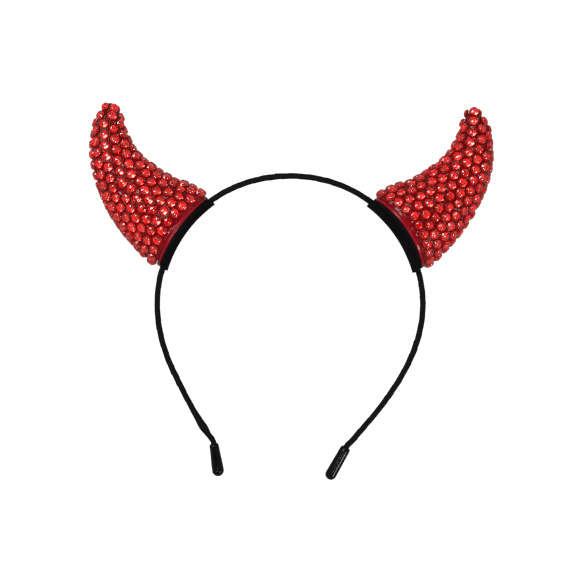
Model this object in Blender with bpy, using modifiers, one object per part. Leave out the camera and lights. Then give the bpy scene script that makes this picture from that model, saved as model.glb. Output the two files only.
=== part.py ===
"""Devil horns headband: a ribbon wrapped band that carries two horns set with cut stones.

The headband is drawn flat, as the photograph shows it: x to the right, y up towards the
crown, z towards the viewer, with the centre of the band's round stretch at (0, 0, 0).
An empty then lays it on the backs of its horns, as it rests on a table by itself.
Sizes are in metres.
"""

import math

import bmesh
import bpy
import numpy as np
from mathutils import Matrix, Vector
from mathutils.geometry import delaunay_2d_cdt

MM = 0.001
GAP = 0.3 * MM

# Band: a steel strip wrapped in satin ribbon, seen edge on from the front
BAND_THICKNESS = 2.6 * MM
BAND_WIDTH = 3.6 * MM
BAND_SEAT_RADIUS = 65.4 * MM
BARE_STRIP_SCALE = 0.46
BARE_STRIP_LENGTH = 5.0 * MM
BARE_STEP = 0.05 * MM
BAND_STEP = 4.8

# Band by angle round its centre, from the right end over the crown to the left end, where
# the ribbon is folded under and glued
BAND_ROWS = np.array(
    [
        # angle (degrees), radius (mm), thickness of the wrapping
        (-67.1, 72.7, 1.0),
        (-58.9, 68.8, 1.0),
        (-50.4, 66.25, 1.0),
        (-42.0, 64.7, 1.0),
        (-30.0, 63.9, 1.0),
        (-18.0, 64.15, 1.0),
        (-3.0, 64.95, 1.0),
        (12.0, BAND_SEAT_RADIUS / MM, 1.0),
        (34.0, BAND_SEAT_RADIUS / MM, 1.0),
        (56.0, BAND_SEAT_RADIUS / MM, 1.0),
        (90.0, 64.85, 1.0),
        (124.0, BAND_SEAT_RADIUS / MM, 1.0),
        (146.0, BAND_SEAT_RADIUS / MM, 1.0),
        (168.0, BAND_SEAT_RADIUS / MM, 1.0),
        (184.0, 64.85, 1.0),
        (203.0, 64.7, 1.0),
        (212.8, 65.3, 1.0),
        (220.3, 66.8, 1.0),
        (227.5, 69.15, 1.05),
        (232.5, 71.3, 1.3),
        (236.0, 73.0, 1.4),
        (239.4, 74.6, 1.1),
    ]
)

# Each end of the band turns down into its cap
CAP_ROWS = {
    # side: row of the band that it follows, turn_deg, length, mouth_radius, end_radius, way_round
    "right": (0, 16.5, 18.0 * MM, 2.55 * MM, 2.75 * MM, -1),
    "left": (-1, 30.5, 16.2 * MM, 2.4 * MM, 2.9 * MM, 1),
}
CAP_TURN_RADIUS = 3.5 * MM
CAP_TURN_STEPS = 3

# End caps: dipped soft plastic, rounder at the end than at the mouth
CAP_MOUTH_CHAMFER = 0.4 * MM
CAP_BORE_RADIUS = 1.25 * MM
CAP_BORE_DEPTH = BARE_STRIP_LENGTH + 0.6 * MM
CAP_DEPTH_SCALE = 1.2
CAP_SIDES = 12
CAP_END_STEPS = 4

# Horn seats: rim and felt pad clasp the band between them
RIM_RADIUS = BAND_SEAT_RADIUS + BAND_THICKNESS / 2 + GAP
RIM_THICKNESS = 1.7 * MM
RIM_HALF_WIDTH = 20.9 * MM
RIM_HALF_DEPTH = 16.8 * MM
RIM_ROUNDING = 0.55 * MM
PAD_THICKNESS = 1.1 * MM
PAD_HALF_WIDTH = 21.75 * MM
PAD_HALF_DEPTH = 16.6 * MM
PAD_RIDGE_FLAT = 2.7 * MM
PAD_RIDGE_FOOT = 6.0 * MM
PAD_STEPS = (10, 12)
BASE_SIDES = 28

# Where each horn stands on the band, how far it leans towards the viewer, and how far its tip
# stands off the common form
HORN_SEATS = {
    # side: angle_deg, lean_deg, tip_towards_crown, tip_outwards, seed, way_round
    "left": (144.4, 5.0, 0.7 * MM, -0.6 * MM, 11, 1),
    "right": (34.6, -1.0, -0.5 * MM, -0.2 * MM, 23, -1),
}

# Horn form under the stones. The spine starts on the band and bends towards the crown.
HORN_BASE_RADIUS = RIM_RADIUS + RIM_THICKNESS + GAP
HORN_BASE_HALF_WIDTH = 20.8 * MM
HORN_BASE_SAG = HORN_BASE_RADIUS - math.sqrt(HORN_BASE_RADIUS**2 - HORN_BASE_HALF_WIDTH**2)
HORN_BASE_OUTWARDS = HORN_BASE_RADIUS - HORN_BASE_SAG - BAND_SEAT_RADIUS
HORN_ROWS = MM * np.array(
    [
        # station, towards_crown, outwards, half_width, half_depth, sag (mm)
        (0.0, 0.1, HORN_BASE_OUTWARDS / MM, HORN_BASE_HALF_WIDTH / MM, 16.6, HORN_BASE_SAG / MM),
        (7.0, 0.1, 7.5, 20.3, 16.3, 2.1),
        (15.3, 0.0, 15.8, 18.2, 14.9, 1.2),
        (24.0, 1.0, 24.4, 16.3, 13.5, 0.6),
        (32.0, 2.8, 32.2, 14.5, 12.2, 0.2),
        (39.4, 5.1, 39.3, 12.6, 10.9, 0.0),
        (46.5, 8.3, 45.7, 10.9, 9.7, 0.0),
        (53.9, 12.7, 51.7, 9.2, 8.4, 0.0),
        (61.3, 18.1, 56.8, 7.2, 6.9, 0.0),
        (68.4, 24.0, 60.7, 5.2, 5.1, 0.0),
        (74.6, 29.3, 63.8, 2.4, 2.4, 0.0),
    ]
)
HORN_END = HORN_ROWS[-1, 0]

# Cut stones: round, flat backed, each with a table and eight facets
STONE_RADIUS = 2.4 * MM
STONE_HEIGHT = 1.9 * MM
STONE_TABLE_INSET = 0.95 * MM
STONE_SIDES = 8
STONE_PITCH = 5.65 * MM
STONE_RING_PITCH = 4.75 * MM
STONE_REACH = 5.6 * MM
SETTLING_STEPS = 200
SETTLING_SHARE = 0.2
STONE_JITTER = 0.4 * MM
OUTLINE_TRIES = 5
UNROLLING_STEPS = 400
FIRST_STONE = 2.6 * MM
FIRST_STONE_FRONT_RISE = 2.2 * MM
LAST_STONE = HORN_END - 4.4 * MM

# The headband lies on the backs of its horns, with its light legs in the air
REST_TILT = math.radians(-12.58)
REST_ROLL = math.radians(-0.26)
REST_CENTRE = Vector((-1.164, -8.986, 27.26)) * MM

COLOURS = {
    # material: base colour, roughness, metallic
    "black_ribbon": ((0.008, 0.008, 0.009), 0.55, 0.0),
    "black_soft_plastic": ((0.012, 0.012, 0.013), 0.25, 0.0),
    "black_felt": ((0.006, 0.006, 0.007), 0.95, 0.0),
    "red_gloss_base": ((0.30, 0.004, 0.012), 0.3, 0.0),
    "red_cut_stone": ((0.62, 0.008, 0.01), 0.08, 0.0),
}


def clear_scene():
    for obj in list(bpy.data.objects):
        bpy.data.objects.remove(obj)


def material(name):
    colour, roughness, metallic = COLOURS[name]
    made = bpy.data.materials.get(name) or bpy.data.materials.new(name)
    made.use_nodes = True
    shader = made.node_tree.nodes["Principled BSDF"]
    shader.inputs["Base Color"].default_value = (*colour, 1.0)
    shader.inputs["Roughness"].default_value = roughness
    shader.inputs["Metallic"].default_value = metallic
    return made


def add_object(name, data, parent, material_name, collection):
    obj = bpy.data.objects.new(name, data)
    data.materials.append(material(material_name))
    collection.objects.link(obj)
    obj.parent = parent
    return obj


def finish_mesh(name, bm, way=1):
    """Closed mesh from a bmesh, mirrored across its own x where the way round is -1."""
    bmesh.ops.transform(bm, matrix=Matrix.Diagonal((way, 1.0, 1.0, 1.0)), verts=bm.verts)
    bmesh.ops.recalc_face_normals(bm, faces=bm.faces)
    mesh = bpy.data.meshes.new(name)
    bm.to_mesh(mesh)
    bm.free()
    return mesh


def read_rows(rows, at):
    """Columns of a table at these places in its first column, by a smooth curve through its rows."""
    place, values = rows[:, 0], rows[:, 1:]
    at = np.clip(at, place[0], place[-1])
    low = np.clip(np.searchsorted(place, at, side="right") - 1, 0, len(place) - 2)
    slopes = np.gradient(values, place, axis=0)
    span = (place[low + 1] - place[low])[:, None]
    share = (at - place[low])[:, None] / span
    rest = 1 - share
    ends = values[low] * (1 + 2 * share) * rest**2 + values[low + 1] * (3 - 2 * share) * share**2
    return ends + span * share * rest * (slopes[low] * rest - slopes[low + 1] * share)


def band_points(angles):
    """Points of the band's centre line at these angles in degrees, and its thickness there."""
    radius, scale = read_rows(BAND_ROWS, angles).T
    turn = np.radians(angles)
    places = np.stack([np.cos(turn), np.sin(turn), 0 * turn], axis=1) * radius[:, None] * MM
    return [Vector(place) for place in places], list(scale)


def cap_turn(side):
    """Points of the turn at this end of the band, from the wrapped band to the cap, and the cap's axis."""
    row, turn, _, _, _, way = CAP_ROWS[side]
    end = BAND_ROWS[row, 0]
    (before, last), _ = band_points(np.array([end - 0.5 * way, end]))
    along = (last - before).normalized()
    step = math.radians(turn) / CAP_TURN_STEPS
    points = []
    for _ in range(CAP_TURN_STEPS):
        along = Matrix.Rotation(-step * way, 3, "Z") @ along
        last = last + along * CAP_TURN_RADIUS * step
        points.append(last)
    return points, along


def band_route():
    """Centre line from inside the right cap to inside the left cap, with the scale at each point."""
    low, high = BAND_ROWS[0, 0], BAND_ROWS[-1, 0]
    points, scales = band_points(np.linspace(low, high, round((high - low) / BAND_STEP) + 1))
    for side in ("right", "left"):
        points.reverse()
        scales.reverse()
        turned, axis = cap_turn(side)
        points += turned + [turned[-1] + axis * length for length in (BARE_STEP, BARE_STRIP_LENGTH)]
        scales += [scales[-1]] * CAP_TURN_STEPS + [BARE_STRIP_SCALE] * 2
    return points, scales


def band_profile(collection):
    """Cross section of the wrapped band: a flattened octagon, wider along the viewing direction."""
    half_t, half_w = BAND_THICKNESS / 2, BAND_WIDTH / 2
    face, edge = 0.62, 0.42
    corner = [(half_t, half_w * face), (half_t * edge, half_w)]
    outline = corner + [(-x, y) for x, y in corner[::-1]]
    outline += [(-x, -y) for x, y in outline]
    curve = bpy.data.curves.new("band_profile", "CURVE")
    curve.dimensions = "2D"
    spline = curve.splines.new("POLY")
    spline.points.add(len(outline) - 1)
    for point, (x, y) in zip(spline.points, outline[::-1]):
        point.co = (x, y, 0.0, 1.0)
    spline.use_cyclic_u = True
    obj = bpy.data.objects.new("band_profile", curve)
    obj.hide_render = True
    obj.display_type = "WIRE"
    collection.objects.link(obj)
    return obj


def build_band(parent, collection, helpers):
    points, scales = band_route()
    curve = bpy.data.curves.new("wrapped_band", "CURVE")
    curve.dimensions = "3D"
    curve.twist_mode = "Z_UP"
    curve.bevel_mode = "OBJECT"
    curve.bevel_object = band_profile(helpers)
    curve.use_fill_caps = True
    spline = curve.splines.new("POLY")
    spline.points.add(len(points) - 1)
    for knot, point, scale in zip(spline.points, points, scales):
        knot.co = (*point, 1.0)
        knot.radius = scale
    add_object("wrapped_band", curve, parent, "black_ribbon", collection)


def build_cap(side, parent, collection):
    """Cap over an end of the band, a turned shape a little deeper than it is wide, open at its mouth."""
    points, axis = cap_turn(side)
    _, _, length, mouth_radius, end_radius, _ = CAP_ROWS[side]
    profile = [(0.0, CAP_BORE_DEPTH), (CAP_BORE_RADIUS, CAP_BORE_DEPTH), (CAP_BORE_RADIUS, 0.0)]
    profile += [(mouth_radius - CAP_MOUTH_CHAMFER, 0.0), (mouth_radius, CAP_MOUTH_CHAMFER)]
    for step in range(CAP_END_STEPS):
        turn = math.pi / 2 * step / CAP_END_STEPS
        round_z = length - end_radius * (1 - math.sin(turn))
        profile.append((end_radius * math.cos(turn), round_z))
    profile.append((0.0, length))

    bm = bmesh.new()
    verts = [bm.verts.new((x, 0.0, z)) for x, z in profile]
    edges = [bm.edges.new(pair) for pair in zip(verts, verts[1:])]
    bmesh.ops.spin(
        bm, geom=verts + edges, cent=(0, 0, 0), axis=(0, 0, 1), dvec=(0, 0, 0),
        angle=2 * math.pi, steps=CAP_SIDES, use_merge=True,
    )
    bmesh.ops.remove_doubles(bm, verts=bm.verts, dist=0.01 * MM)
    # The turned shape's own y axis becomes the headband's depth
    depth = Vector((0, 0, 1))
    turn = Matrix((depth.cross(axis), depth, axis)).transposed()
    turn = turn @ Matrix.Diagonal((1.0, CAP_DEPTH_SCALE, 1.0))
    mouth = points[-1] + axis * GAP
    bmesh.ops.transform(bm, matrix=Matrix.Translation(mouth) @ turn.to_4x4(), verts=bm.verts)
    mesh = finish_mesh(f"{side}_end_cap", bm)
    add_object(f"{side}_end_cap", mesh, parent, "black_soft_plastic", collection)


def seat(side, parent, collection):
    """Empty where a horn sits on the band: x along the band, y outwards, z to the viewer."""
    angle, lean = HORN_SEATS[side][:2]
    turn = Matrix.Rotation(math.radians(angle - 90), 4, "Z") @ Matrix.Rotation(math.radians(lean), 4, "X")
    empty = bpy.data.objects.new(f"{side}_seat", None)
    collection.objects.link(empty)
    empty.parent = parent
    outwards = Vector((math.cos(math.radians(angle)), math.sin(math.radians(angle)), 0.0))
    empty.matrix_local = Matrix.Translation(outwards * BAND_SEAT_RADIUS) @ turn
    return empty


def on_seat(radius, along, depth):
    """Point on a cylinder round the band's centre, in the seat's axes."""
    turn = along / radius
    return (radius * math.sin(turn), radius * math.cos(turn) - BAND_SEAT_RADIUS, depth)


def saddle_strip(bm, radius, half_width, half_depth):
    """Oval patch of that cylinder: one strip of faces across, from end to end."""
    ring = []
    for i in range(BASE_SIDES):
        turn = 2 * math.pi * i / BASE_SIDES
        place = on_seat(radius, half_width * math.cos(turn), half_depth * math.sin(turn))
        ring.append(bm.verts.new(place))
    return [bm.faces.new([ring[i] for i in loop]) for loop in strip_loops()]


def strip_loops():
    """Corner numbers of the faces that close an oval ring with a strip across it."""
    half = BASE_SIDES // 2
    loops = [(0, 1, BASE_SIDES - 1), (half - 1, half, half + 1)]
    for i in range(1, half - 1):
        loops.append((i, i + 1, BASE_SIDES - i - 1, BASE_SIDES - i))
    return loops


def build_rim(side, parent, collection):
    """Smooth red plate under the horn, with a rounded edge."""
    bm = bmesh.new()
    faces = saddle_strip(bm, RIM_RADIUS, RIM_HALF_WIDTH, RIM_HALF_DEPTH)
    raised = bmesh.ops.extrude_face_region(bm, geom=faces, use_keep_orig=True)["geom"]
    top = [v for v in raised if isinstance(v, bmesh.types.BMVert)]
    bmesh.ops.translate(bm, vec=(0, RIM_THICKNESS, 0), verts=top)
    bmesh.ops.recalc_face_normals(bm, faces=bm.faces)
    edges = [e for e in bm.edges if e.calc_face_angle(0.0) > math.radians(50)]
    bmesh.ops.bevel(
        bm, geom=edges, offset=RIM_ROUNDING, segments=2, profile=0.5, affect="EDGES",
        material=-1,
    )
    mesh = finish_mesh(f"{side}_horn_rim", bm)
    add_object(f"{side}_horn_rim", mesh, parent, "red_gloss_base", collection)


def build_pad(side, parent, collection):
    """Felt patch that is glued to the rim and wraps the band: it rises into a ridge over it."""
    bm = bmesh.new()
    along_steps, depth_steps = PAD_STEPS
    made = bmesh.ops.create_grid(bm, x_segments=along_steps, y_segments=depth_steps, size=1.0)
    for vert in made["verts"]:
        u, v = vert.co.x, vert.co.y
        # A square maps to an oval patch: its corners draw in
        along = PAD_HALF_WIDTH * u * math.sqrt(1 - v * v / 2)
        depth = PAD_HALF_DEPTH * v * math.sqrt(1 - u * u / 2)
        share = (abs(depth) - PAD_RIDGE_FLAT) / (PAD_RIDGE_FOOT - PAD_RIDGE_FLAT)
        share = min(1.0, max(0.0, share))
        share = share * share * (3 - 2 * share)
        under_band = BAND_SEAT_RADIUS - BAND_THICKNESS / 2 - GAP
        radius = under_band + (RIM_RADIUS - GAP - under_band) * share
        vert.co = on_seat(radius, along * radius / RIM_RADIUS, depth)
    mesh = finish_mesh(f"{side}_felt_pad", bm)
    pad = add_object(f"{side}_felt_pad", mesh, parent, "black_felt", collection)
    felt = pad.modifiers.new("felt", "SOLIDIFY")
    felt.thickness = PAD_THICKNESS
    felt.offset = -1.0 if mesh.polygons[0].normal.y > 0 else 1.0


def horn_rows(side):
    """The common horn with this side's own place of the tip."""
    rows = HORN_ROWS.copy()
    rows[:, 1:3] += np.outer(rows[:, 0] / HORN_END, HORN_SEATS[side][2:4])
    return rows


def horn_surface(rows, at, turn):
    """Points of the horn's skin, by station and by angle round the spine, in the seat's axes."""
    near = 0.05 * MM
    towards_crown, outwards, half_width, half_depth, sag = read_rows(rows, at).T
    spine = (read_rows(rows, at + near) - read_rows(rows, at - near))[:, :2]
    spine /= np.linalg.norm(spine, axis=1)[:, None]
    wide, lift = half_width * np.cos(turn), sag * np.sin(turn) ** 2
    x = towards_crown + spine[:, 1] * wide + spine[:, 0] * lift
    y = outwards - spine[:, 0] * wide + spine[:, 1] * lift
    return np.stack([x, y, half_depth * np.sin(turn)], axis=1)


def skin_steps(rows, at, turn):
    """How far a point of the skin moves for each unit of station and of angle."""
    step = 0.01 * MM
    here = horn_surface(rows, at, turn)
    inner = np.where(at + step > HORN_END, -step, step)
    by_station = (horn_surface(rows, at + inner, turn) - here) / inner[:, None]
    by_turn = (horn_surface(rows, at, turn + step) - here) / step
    return here, by_station, by_turn


def carried(rows, at, turn, push, tries=1):
    """Station and angle of the point of the skin that this push leads to."""
    goal = horn_surface(rows, at, turn) + push
    for _ in range(tries):
        here, by_station, by_turn = skin_steps(rows, at, turn)
        push = goal - here
        a, b, c = (by_station**2).sum(1), (by_station * by_turn).sum(1), (by_turn**2).sum(1)
        p, q = (by_station * push).sum(1), (by_turn * push).sum(1)
        span = a * c - b * b
        at = at + (c * p - b * q) / span
        turn = turn + (a * q - b * p) / span
    return at, turn


def stone_places(rows, seed):
    """Station and angle of each stone: staggered rings that push each other apart until even."""
    random = np.random.default_rng(seed)
    rings = round((LAST_STONE - FIRST_STONE) / STONE_RING_PITCH)
    at, turn = [], []
    for ring, station in enumerate(np.linspace(FIRST_STONE, LAST_STONE, rings + 1)):
        half_width, half_depth = read_rows(rows, np.array([station]))[0, 2:4]
        count = max(3, round(math.pi * (half_width + half_depth) / STONE_PITCH))
        for i in range(count):
            at.append(station)
            turn.append(2 * math.pi * (i + 0.5 * (ring % 2)) / count)
    at = np.array(at) + random.uniform(-STONE_JITTER, STONE_JITTER, len(at))
    turn = np.array(turn)
    for _ in range(SETTLING_STEPS):
        here = horn_surface(rows, at, turn)
        apart = here[:, None] - here[None]
        distance = np.linalg.norm(apart, axis=2)
        np.fill_diagonal(distance, STONE_REACH)
        overlap = np.clip(STONE_REACH - distance, 0, None) * SETTLING_SHARE
        push = (apart * (overlap / distance)[:, :, None]).sum(1)
        at, turn = carried(rows, at, turn, push)
        lowest = FIRST_STONE + FIRST_STONE_FRONT_RISE * np.sin(turn) ** 2
        at = np.clip(at, lowest, LAST_STONE)
    return at, np.mod(turn, 2 * math.pi)


def stone_outlines(rows, seed):
    """Eight corners of each stone on the skin, as stations and angles, with an own turn each."""
    random = np.random.default_rng(seed + 1)
    at, turn = stone_places(rows, seed)
    _, by_station, by_turn = skin_steps(rows, at, turn)
    across = by_turn / np.linalg.norm(by_turn, axis=1)[:, None]
    outwards = np.cross(by_turn, by_station)
    outwards /= np.linalg.norm(outwards, axis=1)[:, None]
    upwards = np.cross(outwards, across)
    start = random.uniform(0, 2 * math.pi / STONE_SIDES, len(at))
    corners = []
    for i in range(STONE_SIDES):
        angle = (start + 2 * math.pi * i / STONE_SIDES)[:, None]
        push = STONE_RADIUS * (across * np.cos(angle) + upwards * np.sin(angle))
        corners.append(np.stack(carried(rows, at, turn, push, OUTLINE_TRIES), axis=1))
    return np.stack(corners, axis=1)


def unrolled_height(rows, at):
    """Height of a station on the flat map of the skin, where shapes keep their angles."""
    fine = np.linspace(0.0, HORN_END, UNROLLING_STEPS)
    radius = read_rows(rows, fine)[:, 2:4].mean(axis=1)
    steps = np.diff(fine) / radius[1:]
    return np.interp(at, fine, np.concatenate([[0.0], np.cumsum(steps)]))


def horn_skin(rows, seed):
    """Corners of the skin, its stones as eight sided faces, and the triangles between them."""
    outlines = stone_outlines(rows, seed)
    base = [(0.0, 2 * math.pi * i / BASE_SIDES) for i in range(BASE_SIDES)]
    tip = [(HORN_END, 2 * math.pi * i / STONE_SIDES) for i in range(STONE_SIDES)]
    corners = np.concatenate([np.array(base + tip), outlines.reshape(-1, 2)])
    first = len(base) + len(tip)
    stones = np.arange(first, len(corners)).reshape(-1, STONE_SIDES).tolist()
    # The flat map repeats every full turn, so three turns of it are triangulated and the middle one kept
    height = unrolled_height(rows, corners[:, 0])
    flat, loops, count = [], [], len(corners)
    for copy, whole_turn in enumerate((-1, 0, 1)):
        flat += [Vector((a + 2 * math.pi * whole_turn, h)) for a, h in zip(corners[:, 1], height)]
        loops += [[copy * count + i for i in loop] for loop in stones]
    made = delaunay_2d_cdt(flat, [], loops, 0, 1e-7)
    points, faces, point_ids, face_ids = made[0], made[2], made[3], made[5]
    between = []
    for face, inside in zip(faces, face_ids):
        middle = sum(points[i].x for i in face) / 3
        if not inside and 0 <= middle < 2 * math.pi:
            between.append([point_ids[i][0] % count for i in face])
    return horn_surface(rows, corners[:, 0], corners[:, 1]), stones, between


def build_horn(side, parent, collection):
    """Horn with its stones: each eight sided face is drawn up and in to a facet ring and a table."""
    seed, way = HORN_SEATS[side][4:]
    places, stones, between = horn_skin(horn_rows(side), seed)
    bm = bmesh.new()
    verts = [bm.verts.new(place) for place in places]
    for loop in strip_loops() + between:
        bm.faces.new([verts[i] for i in loop])
    tip = list(range(BASE_SIDES, BASE_SIDES + STONE_SIDES))
    stone_faces = [bm.faces.new([verts[i] for i in loop]) for loop in [tip] + stones]
    bmesh.ops.recalc_face_normals(bm, faces=bm.faces)
    bmesh.ops.inset_individual(
        bm, faces=stone_faces, thickness=STONE_TABLE_INSET, depth=STONE_HEIGHT,
        use_even_offset=True,
    )
    mesh = finish_mesh(f"{side}_horn", bm, way)
    add_object(f"{side}_horn", mesh, parent, "red_cut_stone", collection)


def main():
    clear_scene()
    collection = bpy.data.collections.new("devil_horns_headband")
    helpers = bpy.data.collections.new("profiles")
    for made in (collection, helpers):
        bpy.context.scene.collection.children.link(made)
    lying = bpy.data.objects.new("lying_headband", None)
    collection.objects.link(lying)
    turn = Matrix.Rotation(REST_ROLL, 4, "Y") @ Matrix.Rotation(REST_TILT, 4, "X")
    lying.matrix_local = Matrix.Translation(REST_CENTRE) @ turn
    build_band(lying, collection, helpers)
    for side in ("left", "right"):
        build_cap(side, lying, collection)
        place = seat(side, lying, collection)
        build_rim(side, place, collection)
        build_pad(side, place, collection)
        build_horn(side, place, collection)


main()
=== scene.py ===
"""Devil horns headband, dressed: satin wound band, dipped caps, felt pads and two horns of cut stones."""

import math

import bmesh
import bpy
import numpy as np
from mathutils import Matrix, Vector
from mathutils.kdtree import KDTree


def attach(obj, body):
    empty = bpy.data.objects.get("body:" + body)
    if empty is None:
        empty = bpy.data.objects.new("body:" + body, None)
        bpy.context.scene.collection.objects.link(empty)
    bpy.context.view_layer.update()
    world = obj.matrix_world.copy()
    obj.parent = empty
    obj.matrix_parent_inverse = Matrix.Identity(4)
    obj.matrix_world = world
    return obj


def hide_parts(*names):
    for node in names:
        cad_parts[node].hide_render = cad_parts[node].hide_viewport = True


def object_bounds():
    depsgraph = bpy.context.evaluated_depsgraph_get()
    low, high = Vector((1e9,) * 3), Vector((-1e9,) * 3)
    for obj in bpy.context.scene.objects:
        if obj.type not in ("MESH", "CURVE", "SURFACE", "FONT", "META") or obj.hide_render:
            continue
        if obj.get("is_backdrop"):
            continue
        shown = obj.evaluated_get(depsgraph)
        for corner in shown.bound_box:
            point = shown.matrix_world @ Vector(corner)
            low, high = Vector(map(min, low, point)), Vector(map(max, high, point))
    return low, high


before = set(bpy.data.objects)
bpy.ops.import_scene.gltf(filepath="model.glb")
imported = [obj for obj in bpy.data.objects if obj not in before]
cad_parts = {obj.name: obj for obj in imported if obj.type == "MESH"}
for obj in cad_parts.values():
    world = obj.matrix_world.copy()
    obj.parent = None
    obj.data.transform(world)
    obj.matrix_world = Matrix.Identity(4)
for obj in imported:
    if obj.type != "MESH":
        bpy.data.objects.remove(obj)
cad_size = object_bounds()


# Wrapped band: a strip of spring steel wound with black satin ribbon, each turn of the ribbon
# lapping over the turn before. Near the left cap the ribbon's end is folded under and glued,
# which makes the band thicker there.

MM = 0.001
BAND_THICKNESS = 2.6 * MM
BAND_DEPTH = 3.6 * MM
BAND_SEAT_RADIUS = 65.4 * MM
BAND_SQUARENESS = 2.6
BAND_STEPS = 700
BAND_ROWS = np.array(
    [
        # angle (degrees), radius (mm), thickness of the wrapping
        (-67.1, 72.7, 1.0),
        (-58.9, 68.8, 1.0),
        (-50.4, 66.25, 1.0),
        (-42.0, 64.7, 1.0),
        (-30.0, 63.9, 1.0),
        (-18.0, 64.15, 1.0),
        (-3.0, 64.95, 1.0),
        (12.0, 65.4, 1.0),
        (34.0, 65.4, 1.0),
        (56.0, 65.4, 1.0),
        (90.0, 64.85, 1.0),
        (124.0, 65.4, 1.0),
        (146.0, 65.4, 1.0),
        (168.0, 65.4, 1.0),
        (184.0, 64.85, 1.0),
        (203.0, 64.7, 1.0),
        (212.8, 65.3, 1.0),
        (220.3, 66.8, 1.0),
        (227.5, 69.15, 1.05),
        (232.5, 71.3, 1.3),
        (234.8, 72.4, 1.4),
        (236.3, 73.15, 1.06),
        (239.4, 74.6, 1.0),
    ]
)
CAP_TURNS = {"right": (0, 16.5, -1), "left": (-1, 30.5, 1)}  # row of the band, degrees, way round
CAP_TURN_RADIUS = 3.5 * MM
CAP_TURN_STEPS = 3
BAND_IN_CAP = 2.2 * MM
RIBBON_PITCH = 7.6 * MM
RIBBON_LAP = 0.2 * MM
RIBBON_SIDES = 36
RIBBON_OVER_STEEL = 0.1 * MM
LAP_SHAPE = [
    # share of the pitch, share of the lap's height
    (0.0, 0.0),
    (0.12, 0.1),
    (0.35, 0.28),
    (0.6, 0.55),
    (0.82, 0.85),
    (0.95, 1.0),
    (0.985, 0.96),
    (0.999, 0.75),
]
# Winding by hand is uneven: some turns lie closer together, and some laps stand prouder
TURN_DRIFT = [
    # how far along the band, over what length (radian of its wave), start of the wave
    (1.1 * MM, 9.3 * MM, 0.0),
    (0.8 * MM, 4.1 * MM, 1.0),
]
LAP_PROUD, LAP_PROUD_SWING = 0.75, 0.45
LAP_PROUD_WAVES = [(13.7 * MM, 0.0), (5.9 * MM, 0.6)]
EVEN_AT_ENDS = 9.0 * MM
ROUTE_STEP = 0.4 * MM
MERGE_RIBBON = 0.02 * MM
THREAD_TURN = math.radians(40)

# The headband is drawn flat, as it is seen from the front: x to the right, y up to the crown,
# z to the viewer, round the middle of the band. It lies on the backs of its two horns with its
# light legs a little in the air, and every piece is turned that way as it is finished.
REST_TILT = math.radians(-12.58)
REST_ROLL = math.radians(-0.26)
REST_CENTRE = Vector((-1.164, -8.986, 27.26)) * MM
LYING = (
    Matrix.Translation(REST_CENTRE)
    @ Matrix.Rotation(REST_ROLL, 4, "Y")
    @ Matrix.Rotation(REST_TILT, 4, "X")
)


def read_rows(rows, at):
    """Columns of a table at these places in its first column, by a smooth curve through its rows."""
    place, values = rows[:, 0], rows[:, 1:]
    at = np.clip(at, place[0], place[-1])
    low = np.clip(np.searchsorted(place, at, side="right") - 1, 0, len(place) - 2)
    slopes = np.gradient(values, place, axis=0)
    span = (place[low + 1] - place[low])[:, None]
    share = (at - place[low])[:, None] / span
    rest = 1 - share
    ends = values[low] * (1 + 2 * share) * rest**2 + values[low + 1] * (3 - 2 * share) * share**2
    return ends + span * share * rest * (slopes[low] * rest - slopes[low + 1] * share)


def band_end(side):
    """Points of the turn at this end of the band, where it bends down to its cap, and the cap's axis."""
    row, degrees, way = CAP_TURNS[side]
    angles = np.array([BAND_ROWS[row, 0] - 0.5 * way, BAND_ROWS[row, 0]])
    turn = np.radians(angles)
    radius = read_rows(BAND_ROWS, angles)[:, 0] * MM
    before, last = (Vector((r * math.cos(t), r * math.sin(t), 0)) for r, t in zip(radius, turn))
    along = (last - before).normalized()
    step = math.radians(degrees) / CAP_TURN_STEPS
    points = []
    for _ in range(CAP_TURN_STEPS):
        along = Matrix.Rotation(-step * way, 3, "Z") @ along
        last = last + along * CAP_TURN_RADIUS * step
        points.append(last)
    return points, along


def band_route():
    """Centre line of the band as rows of length along it, x, y and thickness, cap to cap."""
    angles = np.linspace(BAND_ROWS[0, 0], BAND_ROWS[-1, 0], BAND_STEPS)
    radius, scale = read_rows(BAND_ROWS, angles).T
    turn = np.radians(angles)
    line = np.stack([radius * MM * np.cos(turn), radius * MM * np.sin(turn), scale], axis=1)
    for side in ("right", "left"):
        line = line[::-1]
        points, axis = band_end(side)
        points.append(points[-1] + axis * BAND_IN_CAP)
        line = np.concatenate([line, [(p.x, p.y, line[-1, 2]) for p in points]])
    length = np.concatenate([[0], np.cumsum(np.linalg.norm(np.diff(line[:, :2], axis=0), axis=1))])
    return np.column_stack([length, line])


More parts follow.
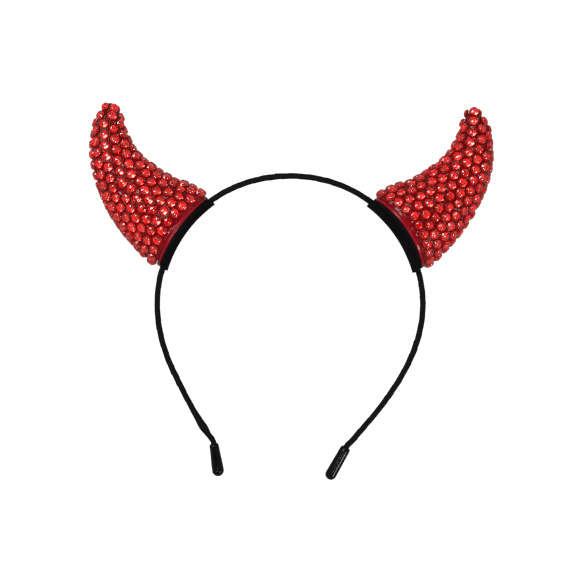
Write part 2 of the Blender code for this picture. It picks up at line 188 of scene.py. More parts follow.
def wound_ribbon():
    """Straight screw of ribbon, one lapped turn after another, cut square at both ends."""
    route = band_route()
    length = route[-1, 0]
    turns = math.ceil(length / RIBBON_PITCH) + 2
    bm = bmesh.new()
    chain = [
        bm.verts.new((BAND_THICKNESS + RIBBON_LAP * high, 0, RIBBON_PITCH * (far - 1)))
        for far, high in LAP_SHAPE
    ]
    chain.append(bm.verts.new((BAND_THICKNESS, 0, 0)))
    edges = [bm.edges.new(pair) for pair in zip(chain, chain[1:])]
    bmesh.ops.spin(
        bm, geom=chain + edges, cent=(0, 0, 0), axis=(0, 0, 1), angle=2 * math.pi * turns,
        dvec=(0, 0, RIBBON_PITCH / RIBBON_SIDES), steps=RIBBON_SIDES * turns, use_merge=False,
    )
    bmesh.ops.remove_doubles(bm, verts=bm.verts, dist=MERGE_RIBBON)
    for far, normal in ((0.0, (0, 0, -1)), (length, (0, 0, 1))):
        cut = bmesh.ops.bisect_plane(
            bm, geom=bm.verts[:] + bm.edges[:] + bm.faces[:], plane_co=(0, 0, far), plane_no=normal,
            clear_outer=True,
        )
        rim = [e for e in cut["geom_cut"] if isinstance(e, bmesh.types.BMEdge)]
        bmesh.ops.edgeloop_fill(bm, edges=rim)
    bmesh.ops.recalc_face_normals(bm, faces=bm.faces)
    return bm, route


def lay_ribbon(bm, route):
    """The straight screw follows the band, and each corner keeps its place on the ribbon as its UV."""
    ribbon_map = bm.loops.layers.uv.new("ribbon")
    perimeter = math.pi * (BAND_THICKNESS + BAND_DEPTH) / 2
    for face in bm.faces:
        middle = face.calc_center_median()
        around = math.atan2(middle.y, middle.x)
        for loop in face.loops:
            turn = math.atan2(loop.vert.co.y, loop.vert.co.x)
            turn += 2 * math.pi * round((around - turn) / (2 * math.pi))
            loop[ribbon_map].uv = (turn / (2 * math.pi) * perimeter / MM, loop.vert.co.z / MM)
    co = np.array([v.co for v in bm.verts])
    turn, height = np.arctan2(co[:, 1], co[:, 0]), np.hypot(co[:, 0], co[:, 1]) - BAND_THICKNESS
    along = co[:, 2]
    drift = sum(push * np.sin(along / wave + start) for push, wave, start in TURN_DRIFT)
    far = along + drift * np.clip(np.minimum(along, route[-1, 0] - along) / EVEN_AT_ENDS, 0, 1)
    first, second = (np.sin(along / wave + start) for wave, start in LAP_PROUD_WAVES)
    proud = LAP_PROUD + LAP_PROUD_SWING * first * second
    x, y, scale = (np.interp(far, route[:, 0], column) for column in route[:, 1:].T)
    ahead = [np.interp(far + ROUTE_STEP, route[:, 0], column) for column in route[:, 1:3].T]
    behind = [np.interp(far - ROUTE_STEP, route[:, 0], column) for column in route[:, 1:3].T]
    way = np.stack([ahead[0] - behind[0], ahead[1] - behind[1]], axis=1)
    way /= np.linalg.norm(way, axis=1)[:, None]
    power = 2 / BAND_SQUARENESS
    flat = np.sign(np.cos(turn)) * np.abs(np.cos(turn)) ** power
    deep = np.sign(np.sin(turn)) * np.abs(np.sin(turn)) ** power
    across = (BAND_THICKNESS / 2 + RIBBON_OVER_STEEL) * scale * flat + height * proud * np.cos(turn)
    depth = BAND_DEPTH / 2 * np.sqrt(scale) * deep + height * proud * np.sin(turn)
    for vert, px, py, wx, wy, a, d in zip(bm.verts, x, y, way[:, 0], way[:, 1], across, depth):
        vert.co = (px + wy * a, py - wx * a, d)


class Shader:
    """A material's nodes, wired one by one."""

    def __init__(self, name, **sockets):
        self.material = bpy.data.materials.new(name)
        self.material.use_nodes = True
        self.nodes = self.material.node_tree.nodes
        self.links = self.material.node_tree.links
        self.principled = self.nodes["Principled BSDF"]
        for socket, value in sockets.items():
            self.principled.inputs[socket.replace("_", " ")].default_value = value

    def node(self, kind, settings=None, **inputs):
        """New node; an input is given by its name, or as i and its number."""
        made = self.nodes.new("ShaderNode" + kind)
        for key, value in (settings or {}).items():
            setattr(made, key, value)
        for key, value in inputs.items():
            by_number = key[0] == "i" and key[1:].isdigit()
            socket = made.inputs[int(key[1:]) if by_number else key.replace("_", " ")]
            if isinstance(value, bpy.types.NodeSocket):
                self.links.new(value, socket)
            else:
                socket.default_value = value
        return made

    def blend(self, share, low, high):
        """Colour between these two, by a share."""
        colours = {"i6": (*low, 1), "i7": (*high, 1)}
        return self.node("Mix", {"data_type": "RGBA"}, Factor=share, **colours).outputs[2]

    def spread(self, value, found, wanted):
        """Value brought from the range that it is found in to the range wanted."""
        ends = {"i1": found[0], "i2": found[1], "i3": wanted[0], "i4": wanted[1]}
        return self.node("MapRange", Value=value, **ends).outputs[0]

    def add_share(self, value, share, other):
        """A share of one value, added to the other."""
        return self.node("Math", {"operation": "MULTIPLY_ADD"}, i0=value, i1=share, i2=other).outputs[0]

    def to(self, socket, output):
        self.links.new(output, self.principled.inputs[socket])


def finished(name, bm, place, finish, smooth=True):
    """Object of this shape, turned to its place, on the body and in its material slot."""
    bmesh.ops.transform(bm, matrix=place, verts=bm.verts)
    if place.determinant() < 0:
        bmesh.ops.reverse_faces(bm, faces=bm.faces)
    for face in bm.faces if smooth else ():
        face.smooth = True
    mesh = bpy.data.meshes.new(name)
    bm.to_mesh(mesh)
    bm.free()
    for material in finish if isinstance(finish, tuple) else (finish,):
        mesh.materials.append(material)
    piece = bpy.data.objects.new(name, mesh)
    bpy.context.scene.collection.objects.link(piece)
    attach(piece, "root")
    return piece


satin = Shader("black_ribbon", Roughness=0.4, Specular_IOR_Level=0.03)
on_ribbon = satin.node("UVMap", {"uv_map": "ribbon"}).outputs["UV"]
threads = satin.node("Mapping", Vector=on_ribbon, Rotation=(0, 0, THREAD_TURN)).outputs["Vector"]
warp, weft = (
    satin.node(
        "TexWave", {"wave_type": "BANDS", "bands_direction": way, "wave_profile": "SIN"},
        Vector=threads, Scale=scale, Distortion=bend, Detail=2.0,
    ).outputs["Fac"]
    for way, scale, bend in (("X", 1.6, 0.6), ("Y", 0.9, 1.2))
)
lint = satin.node("TexNoise", Vector=on_ribbon, Scale=0.8, Detail=6.0, Roughness=0.7).outputs["Fac"]
weave = satin.add_share(lint, 0.8, satin.add_share(weft, 0.5, warp))
satin.to("Normal", satin.node("Bump", Height=weave, Distance=0.00004, Strength=0.5).outputs["Normal"])
tone = satin.spread(lint, (0.3, 0.75), (0.0, 1.0))
satin.to("Base Color", satin.blend(tone, (0.001, 0.001, 0.0014), (0.004, 0.004, 0.005)))
satin.to("Roughness", satin.spread(lint, (0.3, 0.7), (0.34, 0.55)))

ribbon, route = wound_ribbon()
lay_ribbon(ribbon, route)
band = finished("wound_band", ribbon, LYING, satin.material)
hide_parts("wrapped_band")


# End caps: black soft plastic, dipped over each end of the band, so that they are slim and thin
# lipped at the mouth, fuller towards the end and round there. They are a little deeper than wide.

CAP_GAP = 0.3 * MM
CAP_DEPTH_SCALE = 1.2
CAP_SIDES = 40
CAP_ROWS = {
    # side: length, half width at the mouth, half width at the end
    "right": (18.0 * MM, 2.6 * MM, 2.8 * MM),
    "left": (16.2 * MM, 2.4 * MM, 2.95 * MM),
}
CAP_LIP = MM * np.array(
    [
        # narrower than the mouth by, distance from the mouth (mm): up the bore and over the lip
        (0.85, 4.0),
        (0.85, 0.4),
        (0.8, 0.08),
        (0.7, 0.0),
        (0.55, 0.08),
        (0.28, 0.4),
        (0.08, 0.95),
        (0.0, 1.6),
    ]
)
CAP_FLARE_STEPS = 8
CAP_END_STEPS = 8


def dipped_cap(side):
    points, axis = band_end(side)
    length, mouth_half, end_half = CAP_ROWS[side]
    profile = [(mouth_half - narrower, far) for narrower, far in CAP_LIP]
    straight = length - end_half - CAP_LIP[-1, 1]
    for step in range(1, CAP_FLARE_STEPS):
        share = step / CAP_FLARE_STEPS
        half = mouth_half + (end_half - mouth_half) * share * share * (3 - 2 * share)
        profile.append((half, CAP_LIP[-1, 1] + straight * share))
    for step in range(CAP_END_STEPS):
        turn = math.pi / 2 * step / CAP_END_STEPS
        profile.append((end_half * math.cos(turn), length - end_half * (1 - math.sin(turn))))
    profile.append((0.0, length))
    bm = bmesh.new()
    chain = [bm.verts.new((0, 0, CAP_LIP[0, 1]))]
    chain += [bm.verts.new((half, 0, far)) for half, far in profile]
    edges = [bm.edges.new(pair) for pair in zip(chain, chain[1:])]
    bmesh.ops.spin(
        bm, geom=chain + edges, cent=(0, 0, 0), axis=(0, 0, 1), dvec=(0, 0, 0),
        angle=2 * math.pi, steps=CAP_SIDES, use_merge=True,
    )
    bmesh.ops.remove_doubles(bm, verts=bm.verts, dist=0.01 * MM)
    bmesh.ops.recalc_face_normals(bm, faces=bm.faces)
    depth = Vector((0, 0, 1))
    turn = Matrix((depth.cross(axis), depth, axis)).transposed()
    turn = turn @ Matrix.Diagonal((1, CAP_DEPTH_SCALE, 1))
    mouth = points[-1] + axis * CAP_GAP
    return bm, LYING @ Matrix.Translation(mouth) @ turn.to_4x4()


def uneven_surface():
    """Node group: soft unevenness over a surface, as a tone from 0 to 1 and as a normal."""
    group = bpy.data.node_groups.new("uneven_surface", "ShaderNodeTree")
    for name in ("Scale", "Detail", "Coarseness", "Depth", "Strength"):
        group.interface.new_socket(name, in_out="INPUT", socket_type="NodeSocketFloat")
    under = group.interface.new_socket("Normal", in_out="INPUT", socket_type="NodeSocketVector")
    under.hide_value = True
    group.interface.new_socket("Tone", in_out="OUTPUT", socket_type="NodeSocketFloat")
    group.interface.new_socket("Normal", in_out="OUTPUT", socket_type="NodeSocketVector")
    kinds = ("ShaderNodeTexCoord", "ShaderNodeTexNoise", "ShaderNodeBump", "NodeGroupOutput")
    given = group.nodes.new("NodeGroupInput")
    place, noise, bump, given_out = (group.nodes.new(kind) for kind in kinds)
    for output, socket in (
        (place.outputs["Object"], noise.inputs["Vector"]),
        (given.outputs["Scale"], noise.inputs["Scale"]),
        (given.outputs["Detail"], noise.inputs["Detail"]),
        (given.outputs["Coarseness"], noise.inputs["Roughness"]),
        (noise.outputs["Fac"], bump.inputs["Height"]),
        (given.outputs["Depth"], bump.inputs["Distance"]),
        (given.outputs["Strength"], bump.inputs["Strength"]),
        (given.outputs["Normal"], bump.inputs["Normal"]),
        (noise.outputs["Fac"], given_out.inputs["Tone"]),
        (bump.outputs["Normal"], given_out.inputs["Normal"]),
    ):
        group.links.new(output, socket)
    return group


UNEVEN_SURFACE = uneven_surface()


def uneven(shader, **inputs):
    """Tone and normal of an uneven surface, for this material."""
    made = shader.node("Group", {"node_tree": UNEVEN_SURFACE}, **inputs)
    return made.outputs["Tone"], made.outputs["Normal"]


dip = Shader("black_soft_plastic", Roughness=0.12, Specular_IOR_Level=0.08)
grime, _ = uneven(dip, Scale=900.0, Detail=5.0, Coarseness=0.7)
ripple, waves = uneven(dip, Scale=260.0, Detail=3.0, Coarseness=0.5, Depth=0.0004, Strength=0.2)
dip.to("Normal", waves)
dip.to("Roughness", dip.spread(grime, (0.35, 0.7), (0.08, 0.16)))
dip.to("Base Color", dip.blend(ripple, (0.0008, 0.0008, 0.001), (0.003, 0.003, 0.0035)))

for side in ("left", "right"):
    bm, place = dipped_cap(side)
    cap = finished(f"{side}_dipped_cap", bm, place, dip.material)
    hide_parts(f"{side}_end_cap")


# Felt pads: an oval of stiff black felt under each horn. It is glued to the horn's rim and over
# the band, so that it holds the horn on, and it rises into a ridge where it crosses the band.

GAP = 0.3 * MM
RIM_RADIUS = BAND_SEAT_RADIUS + BAND_THICKNESS / 2 + GAP
HORN_SEATS = {
    # side: angle_deg, lean_deg, tip_towards_crown, tip_outwards, seed, way_round
    "left": (144.4, 5.0, 0.7 * MM, -0.6 * MM, 11, 1),
    "right": (34.6, -1.0, -0.5 * MM, -0.2 * MM, 23, -1),
}
PAD_THICKNESS = 1.4 * MM
PAD_HALF_WIDTH = 21.75 * MM
PAD_HALF_DEPTH = 16.6 * MM
PAD_RIDGE_FLAT = 2.7 * MM
PAD_RIDGE_FOOT = 6.0 * MM
PAD_STEPS = (72, 56)


def seat(side):
    """Where a horn sits on the band: x along the band towards the crown, y outwards, z to the viewer."""
    angle, lean, _, _, _, way = HORN_SEATS[side]
    turn = Matrix.Rotation(math.radians(angle - 90), 4, "Z")
    turn = turn @ Matrix.Rotation(math.radians(lean), 4, "X")
    angle = math.radians(angle)
    outwards = Vector((math.cos(angle), math.sin(angle), 0)) * BAND_SEAT_RADIUS
    return LYING @ Matrix.Translation(outwards) @ turn @ Matrix.Diagonal((way, 1, 1, 1))


def on_seat(radius, along, depth):
    """Point on a cylinder round the band's centre, in the seat's axes."""
    turn = along / radius
    return Vector((radius * math.sin(turn), radius * math.cos(turn) - BAND_SEAT_RADIUS, depth))


def felt_pad(side):
    bm = bmesh.new()
    made = bmesh.ops.create_grid(bm, x_segments=PAD_STEPS[0], y_segments=PAD_STEPS[1], size=1.0)
    for vert in made["verts"]:
        u, v = vert.co.x, vert.co.y
        along = PAD_HALF_WIDTH * u * math.sqrt(1 - v * v / 2)
        depth = PAD_HALF_DEPTH * v * math.sqrt(1 - u * u / 2)
        share = (abs(depth) - PAD_RIDGE_FLAT) / (PAD_RIDGE_FOOT - PAD_RIDGE_FLAT)
        share = min(1.0, max(0.0, share))
        share = share * share * (3 - 2 * share)
        under_band = BAND_SEAT_RADIUS - BAND_THICKNESS / 2
        radius = under_band + (RIM_RADIUS - under_band) * share
        vert.co = on_seat(radius, along * radius / RIM_RADIUS, depth)
    bmesh.ops.recalc_face_normals(bm, faces=bm.faces)
    return bm


wool = Shader("black_felt", Roughness=0.95, Specular_IOR_Level=0.02)
_, lumps = uneven(wool, Scale=220.0, Detail=3.0, Coarseness=0.6, Depth=0.0006, Strength=0.6)
tufts, fibres = uneven(
    wool, Scale=900.0, Detail=8.0, Coarseness=0.75, Depth=0.0003, Strength=0.8, Normal=lumps
)
wool.to("Normal", fibres)
wool.to("Base Color", wool.blend(tufts, (0.001, 0.001, 0.0012), (0.005, 0.005, 0.0055)))

for side in ("left", "right"):
    pad = finished(f"{side}_pad", felt_pad(side), seat(side), wool.material)
    inwards = seat(side).to_3x3() @ Vector((0, -1, 0))
    middle = pad.data.polygons[len(pad.data.polygons) // 2].normal
    felt = pad.modifiers.new("felt", "SOLIDIFY")
    felt.thickness = PAD_THICKNESS
    felt.offset = 1.0 if middle.dot(inwards) > 0 else -1.0
    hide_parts(f"{side}_felt_pad")


# Horn rims: the smooth red plastic plate that closes each horn's open end. Its glossy edge shows
# between the felt and the horn, with a dark groove where the two mouldings meet.

RIM_THICKNESS = 1.9 * MM
RIM_HALF_WIDTH = 20.9 * MM
RIM_HALF_DEPTH = 16.8 * MM
RIM_ROUNDING = 0.6 * MM
RIM_SIDES = 96
RIM_SHARP_EDGE = math.radians(50)


def strip_faces(bm, ring):
    """An oval ring of points is closed with a strip across it."""
    count = len(ring)
    half = count // 2
    strip = [(ring[0], ring[1], ring[-1]), (ring[half - 1], ring[half], ring[half + 1])]
    for i in range(1, half - 1):
        strip.append((ring[i], ring[i + 1], ring[count - i - 1], ring[count - i]))
    return [bm.faces.new(corners) for corners in strip]


def horn_rim():
    bm = bmesh.new()
    ring = []
    for i in range(RIM_SIDES):
        turn = 2 * math.pi * i / RIM_SIDES
        along, depth = RIM_HALF_WIDTH * math.cos(turn), RIM_HALF_DEPTH * math.sin(turn)
        ring.append(bm.verts.new(on_seat(RIM_RADIUS, along, depth)))
    faces = strip_faces(bm, ring)
    raised = bmesh.ops.extrude_face_region(bm, geom=faces, use_keep_orig=True)["geom"]
    top = [v for v in raised if isinstance(v, bmesh.types.BMVert)]
    bmesh.ops.translate(bm, vec=(0, RIM_THICKNESS, 0), verts=top)
    bmesh.ops.recalc_face_normals(bm, faces=bm.faces)
    edges = [e for e in bm.edges if e.calc_face_angle(0.0) > RIM_SHARP_EDGE]
    bmesh.ops.bevel(
        bm, geom=edges, offset=RIM_ROUNDING, segments=4, profile=0.5, affect="EDGES", material=-1
    )
    bmesh.ops.recalc_face_normals(bm, faces=bm.faces)
    return bm


gloss = Shader("red_gloss_base", Roughness=0.22, Specular_IOR_Level=0.12)
flow, waves = uneven(gloss, Scale=160.0, Detail=3.0, Coarseness=0.5, Depth=0.0003, Strength=0.3)
gloss.to("Normal", waves)
gloss.to("Base Color", gloss.blend(flow, (0.11, 0.001, 0.004), (0.18, 0.003, 0.008)))

for side in ("left", "right"):
    rim = finished(f"{side}_rim", horn_rim(), seat(side), gloss.material)
    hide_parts(f"{side}_horn_rim")


# Horns: a curved moulding of red plastic on each rim, with about two hundred cut acrylic stones
# glued all over it. The glue rises round each stone and fills the gaps between them. The gaps look dark
# because the glue's colour is painted darker close to each stone, as painted shade. Each
# stone has a foiled back, and the polish rounds its table off into the facets round it.

HORN_OVER_RIM = 1.7 * MM
HORN_BASE_RADIUS = RIM_RADIUS + HORN_OVER_RIM + GAP
HORN_BASE_HALF_WIDTH = 20.8 * MM
HORN_BASE_SAG = HORN_BASE_RADIUS - math.sqrt(HORN_BASE_RADIUS**2 - HORN_BASE_HALF_WIDTH**2)
HORN_BASE_OUTWARDS = HORN_BASE_RADIUS - HORN_BASE_SAG - BAND_SEAT_RADIUS
HORN_ROWS = MM * np.array(
    [
        # station, towards_crown, outwards, half_width, half_depth, sag (mm)
        (0.0, 0.1, HORN_BASE_OUTWARDS / MM, HORN_BASE_HALF_WIDTH / MM, 16.6, HORN_BASE_SAG / MM),
        (7.0, 0.1, 7.5, 20.3, 16.3, 2.1),
        (15.3, 0.0, 15.8, 18.2, 14.9, 1.2),
        (24.0, 1.0, 24.4, 16.3, 13.5, 0.6),
        (32.0, 2.8, 32.2, 14.5, 12.2, 0.2),
        (39.4, 5.1, 39.3, 12.6, 10.9, 0.0),
        (46.5, 8.3, 45.7, 10.9, 9.7, 0.0),
        (53.9, 12.7, 51.7, 9.2, 8.4, 0.0),
        (61.3, 18.1, 56.8, 7.2, 6.9, 0.0),
        (68.4, 24.0, 60.7, 5.2, 5.1, 0.0),
        (74.6, 29.3, 63.8, 1.4, 1.4, 0.0),
    ]
)
HORN_END = HORN_ROWS[-1, 0]
STONE_PITCH = 5.65 * MM
STONE_RING_PITCH = 4.75 * MM
STONE_REACH = 5.6 * MM
SETTLING_STEPS = 200
SETTLING_SHARE = 0.2
STONE_JITTER = 0.4 * MM
FIRST_STONE = 2.6 * MM
FIRST_STONE_FRONT_RISE = 2.2 * MM
LAST_STONE = HORN_END - 6.0 * MM
STONE_TILT = math.radians(3.5)
TIP_STONES = {
    # side: sideways, to the viewer, above the skin's end (mm), turn and lean off the tip's axis, size
    "left": (
        (-2.3, 2.1, -1.6, -40.0, 72.0, 0.86),
        (1.6, 2.8, -1.9, 14.0, 76.0, 0.92),
        (-2.2, -2.0, -2.0, -142.0, 70.0, 0.86),
        (2.6, -1.6, -2.0, 128.0, 70.0, 0.86),
    ),
    "right": (
        (0.0, 2.9, -0.9, 2.0, 76.0, 0.96),
        (2.5, -1.2, -1.2, 116.0, 70.0, 0.88),
        (-2.5, -1.2, -1.2, -116.0, 70.0, 0.88),
    ),
}
STONE_SIDES = 8
STONE_RADIUS = 2.6 * MM
STONE_LEVELS = MM * np.array(
    [
        # radius, height over the skin (mm): foot, girdle, shoulder, table
        (2.6, 0.45),
        (2.6, 0.75),
        (2.3, 1.3),
        (1.7, 1.85),
    ]
)
STONE_POINT = 0.05 * MM
STONE_CORNER = 0.45 * MM
STONE_MARGIN = 0.05 * MM
SKIN_STEPS = (220, 300)
GLUE_UP_WALL = 0.3 * MM
GLUE_UNDER = 0.45 * MM
GLUE_REACH = 0.55 * MM
GLUE_MOST = 0.7 * MM
# Painted shade: within this distance of a stone, the glue's colour is painted darker
STONE_SHADE_REACH = 2.4 * MM
SKIN_MERGE = 0.001 * MM


def horn_rows(side):
    """The common horn with this side's own place of the tip."""
    rows = HORN_ROWS.copy()
    rows[:, 1:3] += np.outer(rows[:, 0] / HORN_END, HORN_SEATS[side][2:4])
    return rows


def horn_surface(rows, at, turn):
    """Points of the horn's skin, by station and by angle round the spine, in the seat's axes."""
    near = 0.05 * MM
    towards_crown, outwards, half_width, half_depth, sag = read_rows(rows, at).T
    spine = (read_rows(rows, at + near) - read_rows(rows, at - near))[:, :2]
    spine /= np.linalg.norm(spine, axis=1)[:, None]
    wide, lift = half_width * np.cos(turn), sag * np.sin(turn) ** 2
    x = towards_crown + spine[:, 1] * wide + spine[:, 0] * lift
    y = outwards - spine[:, 0] * wide + spine[:, 1] * lift
    return np.stack([x, y, half_depth * np.sin(turn)], axis=1)


def skin_steps(rows, at, turn):
    """How far a point of the skin moves for each unit of station and of angle."""
    step = 0.01 * MM
    here = horn_surface(rows, at, turn)
    inner = np.where(at + step > HORN_END, -step, step)
    by_station = (horn_surface(rows, at + inner, turn) - here) / inner[:, None]
    by_turn = (horn_surface(rows, at, turn + step) - here) / step
    return here, by_station, by_turn


def carried(rows, at, turn, push):
    """Station and angle of the point of the skin that this push leads to."""
    _, by_station, by_turn = skin_steps(rows, at, turn)
    a, b, c = (by_station**2).sum(1), (by_station * by_turn).sum(1), (by_turn**2).sum(1)
    p, q = (by_station * push).sum(1), (by_turn * push).sum(1)
    span = a * c - b * b
    return at + (c * p - b * q) / span, turn + (a * q - b * p) / span


def spacing(rows, at, turn):
    """How the stones stand apart from each other, as steps and as distances."""
    here = horn_surface(rows, at, turn)
    apart = here[:, None] - here[None]
    distance = np.linalg.norm(apart, axis=2)
    np.fill_diagonal(distance, STONE_REACH)
    return apart, distance


def stone_places(rows, seed):
    """Station and angle of each stone: staggered rings that push each other apart until even."""
    random = np.random.default_rng(seed)
    rings = round((LAST_STONE - FIRST_STONE) / STONE_RING_PITCH)
    at, turn = [], []
    for ring, station in enumerate(np.linspace(FIRST_STONE, LAST_STONE, rings + 1)):
        half_width, half_depth = read_rows(rows, np.array([station]))[0, 2:4]
        count = max(3, round(math.pi * (half_width + half_depth) / STONE_PITCH))
        for i in range(count):
            at.append(station)
            turn.append(2 * math.pi * (i + 0.5 * (ring % 2)) / count)
    at = np.array(at) + random.uniform(-STONE_JITTER, STONE_JITTER, len(at))
    turn = np.array(turn)
    for _ in range(SETTLING_STEPS):
        apart, distance = spacing(rows, at, turn)
        overlap = np.clip(STONE_REACH - distance, 0, None) * SETTLING_SHARE
        push = (apart * (overlap / distance)[:, :, None]).sum(1)
        at, turn = carried(rows, at, turn, push)
        lowest = FIRST_STONE + FIRST_STONE_FRONT_RISE * np.sin(turn) ** 2
        at = np.clip(at, lowest, LAST_STONE)
    return at, np.mod(turn, 2 * math.pi)


def stone_seats(rows, side):
    """Matrix of each stone's seat on the skin, its z outwards, with an own turn and tilt each."""
    seed = HORN_SEATS[side][4]
    random = np.random.default_rng(seed + 1)
    at, turn = stone_places(rows, seed)
    here, by_station, by_turn = skin_steps(rows, at, turn)
    across = by_turn / np.linalg.norm(by_turn, axis=1)[:, None]
    outwards = np.cross(by_station, by_turn)
    outwards /= np.linalg.norm(outwards, axis=1)[:, None]
    upwards = np.cross(outwards, across)
    start = random.uniform(0, 2 * math.pi / STONE_SIDES, len(at))
    tilts = random.normal(0, STONE_TILT, (len(at), 2))
    # Stones that lie close together are a little smaller, so that none cuts into another
    sizes = np.minimum(1.0, spacing(rows, at, turn)[1].min(axis=1) / (2 * STONE_RADIUS))
    seats = []
    for point, *axes, spin, tilt, size in zip(here, across, upwards, outwards, start, tilts, sizes):
        turned = Matrix([Vector(axis) for axis in axes]).transposed().to_4x4()
        leaning = Matrix.Rotation(tilt[0], 4, "X") @ Matrix.Rotation(tilt[1], 4, "Y")
        spot = Matrix.Translation(point) @ turned @ leaning @ Matrix.Rotation(-spin, 4, "Z")
        seats.append(spot @ Matrix.Scale(size, 4))
    near = read_rows(rows, np.array([HORN_END - MM, HORN_END]))[:, :2]
    axis, viewer = Vector((*(near[1] - near[0]), 0)).normalized(), Vector((0, 0, 1))
    along_tip = Matrix((axis.cross(viewer), -viewer, axis)).transposed().to_4x4()
    tip = Matrix.Translation((*near[1], 0)) @ along_tip
    for sideways, front, above, degrees, lean, size in TIP_STONES[side]:
        out = Matrix.Translation(Vector((sideways, -front, above)) * MM)
        out = out @ Matrix.Rotation(math.radians(degrees), 4, "Z")
        seats.append(tip @ out @ Matrix.Rotation(math.radians(lean), 4, "X") @ Matrix.Scale(size, 4))
    return seats


def horn_skin(rows, seats):
    """Closed skin of the horn, with the glue that rises to each stone."""
    bm = bmesh.new()
    made = bmesh.ops.create_grid(bm, x_segments=SKIN_STEPS[0], y_segments=SKIN_STEPS[1], size=0.5)
    share = np.array([v.co for v in made["verts"]]) + 0.5
    places = horn_surface(rows, share[:, 0] * HORN_END, share[:, 1] * 2 * math.pi)
    for vert, point in zip(made["verts"], places):
        vert.co = point
    bmesh.ops.remove_doubles(bm, verts=bm.verts, dist=SKIN_MERGE)
    bmesh.ops.holes_fill(bm, edges=[e for e in bm.edges if e.is_boundary], sides=0)
    bmesh.ops.recalc_face_normals(bm, faces=bm.faces)
    bm.normal_update()
    tree = KDTree(len(seats))
    for i, matrix in enumerate(seats):
        tree.insert(matrix.translation, i)
    tree.balance()
    upright = [matrix.col[2].xyz.normalized() for matrix in seats]
    # Painted shade: a share for each point, 0 beside a stone and 1 well clear of every stone, that darkens
    # the glue's colour near the stones
    unshaded_by_stones = bm.verts.layers.float.new("unshaded_by_stones")
    moved = []
    for vert in bm.verts:
        rise = 0.0
        clear = 1.0
        for point, i, _ in tree.find_n(vert.co, 3):
            apart = vert.co - point
            high = apart.dot(upright[i])
            far = math.sqrt(max(0.0, apart.length_squared - high * high)) - STONE_RADIUS
            near = math.exp(-((max(0.0, far) / GLUE_REACH) ** 2))
            near *= min(1.0, max(0.0, 1 + far / GLUE_UNDER))
            rise = max(rise, min(GLUE_MOST, GLUE_UP_WALL - high) * near)
            clear = min(clear, max(0.0, far / STONE_SHADE_REACH))
        moved.append(vert.co + vert.normal * rise)
        vert[unshaded_by_stones] = clear
    for vert, point in zip(bm.verts, moved):
        vert.co = point
    return bm


def cut_stone():
    """Round stone: a low wall, two rows of facets and a table, over a shallow foiled point."""
    bm = bmesh.new()
    bmesh.ops.create_circle(bm, cap_ends=True, segments=STONE_SIDES, radius=STONE_LEVELS[0, 0])
    bmesh.ops.translate(bm, vec=(0, 0, STONE_LEVELS[0, 1]), verts=bm.verts)
    lid = bm.faces[:]
    for (before, low), (after, high) in zip(STONE_LEVELS, STONE_LEVELS[1:]):
        foot = low == STONE_LEVELS[0, 1]
        made = bmesh.ops.extrude_face_region(bm, geom=lid, use_keep_orig=foot)["geom"]
        lid = [f for f in made if isinstance(f, bmesh.types.BMFace)]
        top = [v for v in made if isinstance(v, bmesh.types.BMVert)]
        bmesh.ops.scale(bm, vec=(after / before, after / before, 1), verts=top)
        bmesh.ops.translate(bm, vec=(0, 0, high - low), verts=top)
    upright = [e for e in bm.edges if abs(e.verts[0].co.z - e.verts[1].co.z) > STONE_MARGIN]
    bmesh.ops.bevel(
        bm, geom=upright, offset=STONE_CORNER, segments=1, profile=0.5, affect="EDGES", material=-1
    )
    bmesh.ops.recalc_face_normals(bm, faces=bm.faces)
    back = [f for f in bm.faces if f.normal.z < -0.9]
    pointed = bmesh.ops.poke(bm, faces=back, offset=0.0)
    for vert in pointed["verts"]:
        vert.co.z = STONE_POINT
    for face in bm.faces:
        middle = face.calc_center_median().z
        face.material_index = 1 if middle < STONE_LEVELS[1, 1] - STONE_MARGIN else 0
        face.smooth = middle > STONE_LEVELS[2, 1]
    mesh = bpy.data.meshes.new("cut_stone")
    bm.to_mesh(mesh)
    bm.free()
    return mesh


glue = Shader("red_glue", Roughness=0.13, Specular_IOR_Level=0.16)
flow, waves = uneven(glue, Scale=240.0, Detail=4.0, Coarseness=0.5, Depth=0.0004, Strength=0.3)
glue.to("Normal", waves)
# Painted shade: the glue is coloured darker close to the stones, mixed with a random tone from the flow
unshaded_by_stones = glue.node("Attribute", {"attribute_name": "unshaded_by_stones"}).outputs["Fac"]
stone_shade_and_tone = glue.add_share(flow, 0.4, unshaded_by_stones)
glue.to("Base Color", glue.blend(stone_shade_and_tone, (0.05, 0.0003, 0.0008), (0.16, 0.001, 0.004)))

cut_glass = Shader(
    "red_cut_stone", Roughness=0.02, IOR=1.49, Transmission_Weight=1.0, Specular_IOR_Level=0.35
)
own = cut_glass.node("Attribute", {"attribute_name": "own"}).outputs["Fac"]
_, polish = uneven(cut_glass, Scale=420.0, Detail=2.0, Coarseness=0.5, Depth=0.0002, Strength=0.15)
cut_glass.to("Normal", polish)
cut_glass.to("Base Color", cut_glass.blend(own, (0.97, 0.09, 0.07), (0.92, 0.04, 0.03)))

foil = Shader("stone_foil", Roughness=0.6, Metallic=0.45, Specular_IOR_Level=0.1)
own = foil.node("Attribute", {"attribute_name": "own"}).outputs["Fac"]
_, grain = uneven(foil, Scale=1500.0, Detail=3.0, Coarseness=0.5, Depth=0.00003, Strength=0.2)
foil.to("Normal", grain)
foil.to("Base Color", foil.blend(own, (0.82, 0.05, 0.03), (0.56, 0.02, 0.01)))

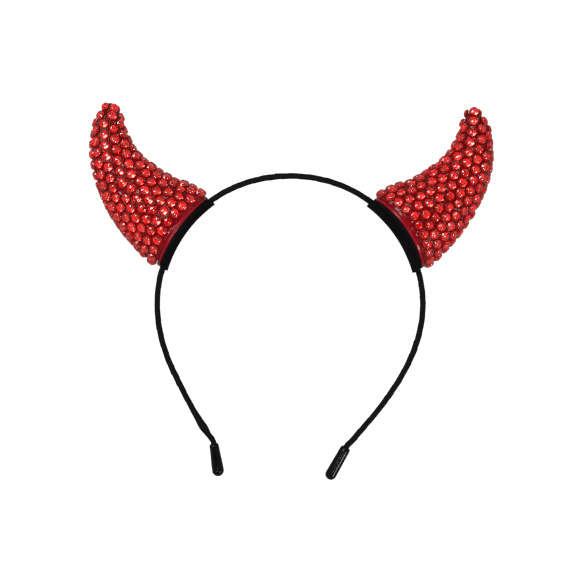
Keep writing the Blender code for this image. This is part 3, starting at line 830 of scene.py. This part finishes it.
stone_mesh = cut_stone()
for side in ("left", "right"):
    rows = horn_rows(side)
    seats = stone_seats(rows, side)
    bm = horn_skin(rows, seats)
    skin = finished(f"{side}_horn_skin", bm, seat(side), glue.material)
    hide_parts(f"{side}_horn")
    random = np.random.default_rng(HORN_SEATS[side][4])
    bm = bmesh.new()
    own = bm.verts.layers.float.new("own")
    for matrix, tone in zip(seats, random.uniform(0, 1, len(seats))):
        first = len(bm.verts)
        bm.from_mesh(stone_mesh)
        bm.verts.ensure_lookup_table()
        bmesh.ops.transform(bm, matrix=matrix, verts=bm.verts[first:])
        for vert in bm.verts[first:]:
            vert[own] = tone
    finish = (cut_glass.material, foil.material)
    finished(f"{side}_stones", bm, seat(side), finish, smooth=False)


# Floor, lights and camera: a plain white table under studio light that comes from all round and is
# dim straight overhead, with two soft lamps and one thin strip lamp. The camera is square to the
# band, as a catalogue picture is taken.

TABLE_REACH = 12.0
SKY_LIGHT = [
    # height of the direction that the light comes from (1 is straight up), brightness
    (0.1, 0.35),
    (0.3, 1.0),
    (0.55, 1.0),
    (0.75, 0.25),
    (0.9, 0.06),
]
SKY_STRENGTH = 0.95
LAMPS = {
    # name: place and size (m), power (W)
    "window_lamp": ((-0.45, 0.65, 0.8), (0.55, 0.4), 14.0),
    "side_lamp": ((0.7, -0.45, 0.75), (0.25, 0.15), 9.0),
    "strip_lamp": ((-0.12, -0.1, 1.0), (0.015, 0.6), 3.0),
}
CAMERA_DISTANCE = 0.65
CAMERA_FIELD = 0.28224
CAMERA_AIM = (-0.00097, 0.00997)

bm = bmesh.new()
table_top = Matrix.Translation((0, 0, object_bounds()[0][2]))
bmesh.ops.create_grid(bm, x_segments=1, y_segments=1, size=TABLE_REACH, matrix=table_top)
mesh = bpy.data.meshes.new("floor")
bm.to_mesh(mesh)
bm.free()
floor = bpy.data.objects.new("floor", mesh)
bpy.context.scene.collection.objects.link(floor)
paper = Shader("white_table", Roughness=0.8, Specular_IOR_Level=0.0, Emission_Strength=1.0)
place = paper.node("TexCoord").outputs["Object"]
fibre = paper.node("TexNoise", Vector=place, Scale=400.0, Detail=4.0).outputs["Fac"]
paper.to("Base Color", paper.blend(fibre, (0.16, 0.16, 0.16), (0.2, 0.2, 0.2)))
# The table is burnt out to white in the picture, but it throws less light than that on the headband
seen = paper.node("LightPath").outputs["Is Camera Ray"]
paper.to("Emission Color", paper.blend(seen, (0.12, 0.12, 0.12), (1, 1, 1)))
mesh.materials.append(paper.material)
floor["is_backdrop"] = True

world = bpy.data.worlds.new("studio")
world.use_nodes = True
nodes, links = world.node_tree.nodes, world.node_tree.links
direction = nodes.new("ShaderNodeTexCoord")
axes = nodes.new("ShaderNodeSeparateXYZ")
fade = nodes.new("ShaderNodeValToRGB")
links.new(direction.outputs["Generated"], axes.inputs[0])
links.new(axes.outputs["Z"], fade.inputs["Fac"])
steps = fade.color_ramp.elements
for _ in SKY_LIGHT[len(steps):]:
    steps.new(0.5)
for step, (height, light) in zip(steps, SKY_LIGHT):
    step.position = height
    step.color = (light, light, light, 1)
links.new(fade.outputs["Color"], nodes["Background"].inputs["Color"])
nodes["Background"].inputs["Strength"].default_value = SKY_STRENGTH
bpy.context.scene.world = world

for name, (place, size, power) in LAMPS.items():
    light = bpy.data.lights.new(name, "AREA")
    light.shape = "RECTANGLE"
    light.size, light.size_y = size
    light.energy = power
    lamp = bpy.data.objects.new(name, light)
    to_headband = (-Vector(place)).to_track_quat("-Z", "Y").to_matrix().to_4x4()
    lamp.matrix_world = Matrix.Translation(place) @ to_headband
    bpy.context.scene.collection.objects.link(lamp)

lens = bpy.data.cameras.new("camera")
lens.sensor_width = 36.0
lens.lens = lens.sensor_width * CAMERA_DISTANCE / CAMERA_FIELD
lens.clip_start = 0.01
camera = bpy.data.objects.new("camera", lens)
camera.matrix_world = LYING @ Matrix.Translation((*CAMERA_AIM, CAMERA_DISTANCE))
bpy.context.scene.collection.objects.link(camera)
bpy.context.scene.camera = camera
bpy.context.scene.view_settings.view_transform = "Standard"

size = {"cad": [list(corner) for corner in cad_size], "scene": [list(corner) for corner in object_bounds()]}
